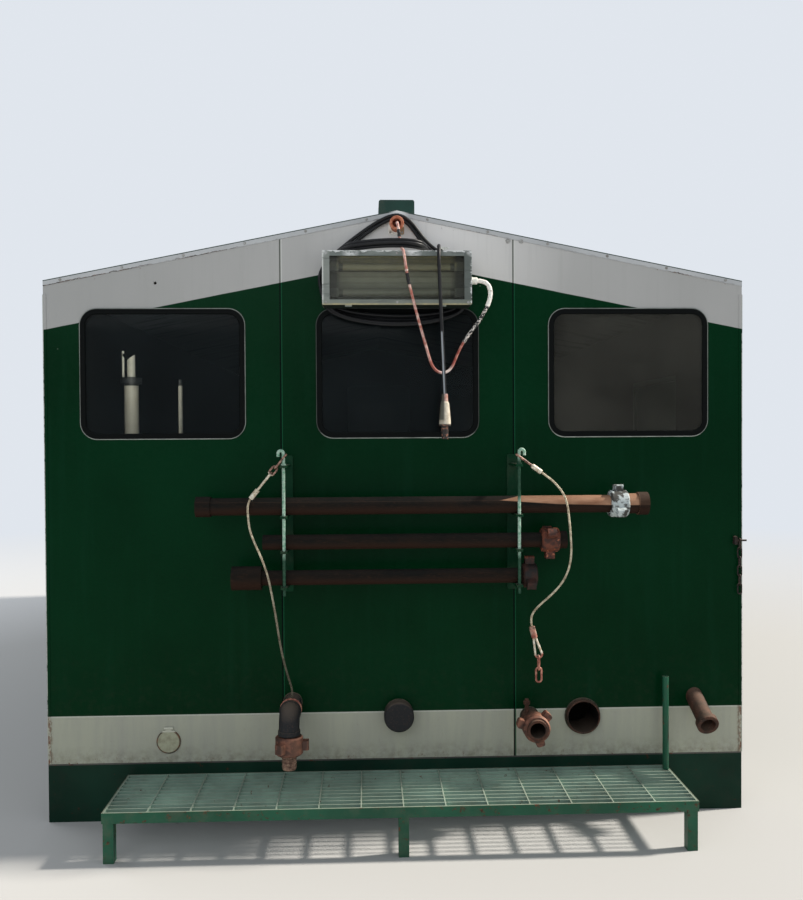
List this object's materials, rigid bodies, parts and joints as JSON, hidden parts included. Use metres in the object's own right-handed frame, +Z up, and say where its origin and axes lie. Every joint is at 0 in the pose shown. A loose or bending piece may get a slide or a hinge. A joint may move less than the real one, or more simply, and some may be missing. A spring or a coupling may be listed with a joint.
{
  "type": "skid-mounted pump house",
  "caption": "Skid-mounted steel pump house with a low gable roof, glazed ends, a wall lamp, racked pipes, pipe stubs and a grating porch.",
  "frame": {"origin": "on the ground under the middle of the building's plan, at the underside of the middle skid joist", "axes": "+Z up; +Y along the building towards its rear end, the front end with the lamp faces -Y; +X to the right seen from the front"},
  "size_m": [3.7101, 7.8235, 3.245],
  "materials": {
    "skid_steel": "worn dark green paint with rust",
    "floor_steel": "worn grey plate",
    "wall_sheet": "gloss green sheet with off-white bands",
    "roof_sheet": "off-white sheet",
    "flashing": "pale grey folded flashing",
    "ridge_metal": "green folded sheet",
    "corner_metal": "pale edge flashing",
    "window_rubber": "aged black rubber",
    "window_glass": "dusty dark glass",
    "door_paint": "gloss green",
    "door_steel": "zinc-plated",
    "lamp_metal": "weathered aluminium",
    "lamp_reflector": "dusty off-white enamel",
    "lamp_glass": "dusty clear glass",
    "lamp_tube": "opal white",
    "gland_plastic": "white",
    "nipple_iron": "rusty orange",
    "lamp_cord": "faded red sheath with tape",
    "power_cord": "black rubber sheath",
    "plug_body": "cream body with a rusty collar",
    "rack_steel": "green paint",
    "rod_steel": "pale green paint",
    "pipe_steel": "rusty brown steel",
    "nut_iron": "rusty, one painted white",
    "stub_steel": "rusty brown steel",
    "elbow_iron": "black with rust",
    "tail_steel": "weathered steel",
    "cover_paint": "off-white paint with a rusty edge",
    "riser_paint": "beige paint with black flanges",
    "rope_wire": "weathered wire rope",
    "fitting_steel": "weathered steel with rust",
    "chain_steel": "dark rusty steel",
    "porch_paint": "worn green paint with rust",
    "grating_steel": "worn pale green grating"
  },
  "bodies": {
    "root": {"skid_beams": "skid_steel", "skid_ends": "skid_steel", "skid_cross_beams": "skid_steel", "floor_plate": "floor_steel", "front_wall_left": "wall_sheet", "front_wall_middle": "wall_sheet", "front_wall_right": "wall_sheet", "rear_wall": "wall_sheet", "left_wall": "wall_sheet", "right_wall": "wall_sheet", "roof_left": "roof_sheet", "roof_right": "roof_sheet", "ridge_cap": "ridge_metal", "roof_trims": "flashing", "roof_battens": "roof_sheet", "corner_trims": "corner_metal", "front_window_rubbers": "window_rubber", "rear_window_rubbers": "window_rubber", "front_window_glass": "window_glass", "rear_window_glass": "window_glass", "door_frame": "door_paint", "side_door": "door_paint", "door_hardware": "door_steel", "inside_pipes": "riser_paint", "lamp_housing": "lamp_metal", "lamp_reflector": "lamp_reflector", "lamp_glass": "lamp_glass", "lamp_tubes": "lamp_tube", "lamp_brackets": "lamp_metal", "cable_glands": "gland_plastic", "cable_nipple": "nipple_iron", "lamp_cable": "lamp_cord", "cable_coil": "power_cord", "cable_drop": "power_cord", "plug": "plug_body", "pipe_racks": "rack_steel", "keeper_rods": "rod_steel", "stored_pipes": "pipe_steel", "wing_nuts": "nut_iron", "union_stub": "stub_steel", "suction_stub": "stub_steel", "side_stub": "stub_steel", "blank_stub": "elbow_iron", "blank_cap": "elbow_iron", "elbow_stub": "elbow_iron", "hose_tail": "tail_steel", "round_cover": "cover_paint", "left_sling": "rope_wire", "right_sling": "rope_wire", "sling_fittings": "fitting_steel", "corner_chain": "chain_steel", "porch_frame": "porch_paint", "porch_grating": "grating_steel"}
  },
  "joints": []
}
